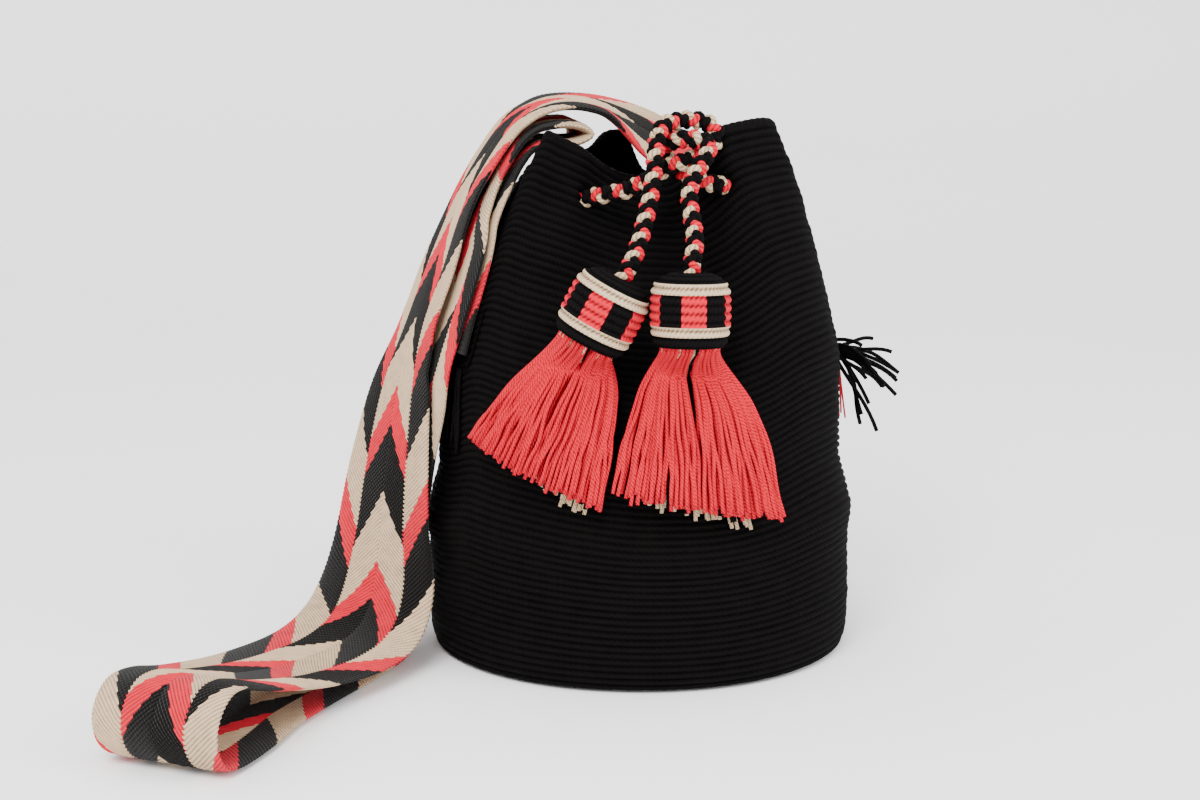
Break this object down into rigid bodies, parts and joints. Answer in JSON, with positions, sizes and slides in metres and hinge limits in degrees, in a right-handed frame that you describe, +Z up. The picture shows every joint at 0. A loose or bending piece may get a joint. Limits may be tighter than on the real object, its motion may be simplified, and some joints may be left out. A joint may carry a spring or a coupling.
{
  "type": "mochila bag",
  "caption": "Round crocheted bucket bag with a braided drawstring, tassels on the cord's ends, and a wide patterned woven shoulder strap resting on the floor.",
  "frame": {"origin": "centre of the bag's flat round base, on the floor", "axes": "+Z up; -Y to the front, where the drawstring is tied and the tassels hang; the strap's ends are sewn near +X and -X"},
  "size_m": [0.4559, 0.3412, 0.3109],
  "materials": {
    "black_cotton_crochet": "matte crocheted black cotton",
    "strap_weave": "dense rope-like weave in beige, pink-red and black",
    "drawstring_braid": "round braid of pink, beige and black cotton",
    "pink_cotton_yarn": "soft loose pink-red cotton yarn",
    "beige_cotton_yarn": "soft beige cotton yarn"
  },
  "bodies": {
    "bag": {"bag_body": "black_cotton_crochet", "shoulder_strap": "strap_weave", "strap_seam_right": "black_cotton_crochet", "strap_seam_left": "black_cotton_crochet", "strap_fringe_right": "black_cotton_crochet", "strap_fringe_left": "black_cotton_crochet", "drawstring_mouth_run": "drawstring_braid", "drawstring_lead_right": "drawstring_braid", "drawstring_lead_left": "drawstring_braid"},
    "tassel_left": {"drawstring_tail_left": "drawstring_braid", "tassel_cap_left": "beige_cotton_yarn", "tassel_knot_left": "black_cotton_crochet", "tassel_binding_left": "black_cotton_crochet", "tassel_yarn_pink_left": "pink_cotton_yarn", "tassel_yarn_black_left": "black_cotton_crochet", "tassel_yarn_beige_left": "beige_cotton_yarn"},
    "tassel_right": {"drawstring_tail_right": "drawstring_braid", "tassel_cap_right": "beige_cotton_yarn", "tassel_knot_right": "black_cotton_crochet", "tassel_binding_right": "black_cotton_crochet", "tassel_yarn_pink_right": "pink_cotton_yarn", "tassel_yarn_black_right": "black_cotton_crochet", "tassel_yarn_beige_right": "beige_cotton_yarn"}
  },
  "joints": [
    {"name": "tassel_left_swing", "type": "hinge", "parent": "bag", "child": "tassel_left", "pos_m": [-0.00326, -0.07435, 0.296], "axis": [-1, 0, 0], "range_deg": [0, 70]},
    {"name": "tassel_right_swing", "type": "hinge", "parent": "bag", "child": "tassel_right", "pos_m": [0.02082, -0.08485, 0.28753], "axis": [-1, 0, 0], "range_deg": [0, 70]}
  ]
}
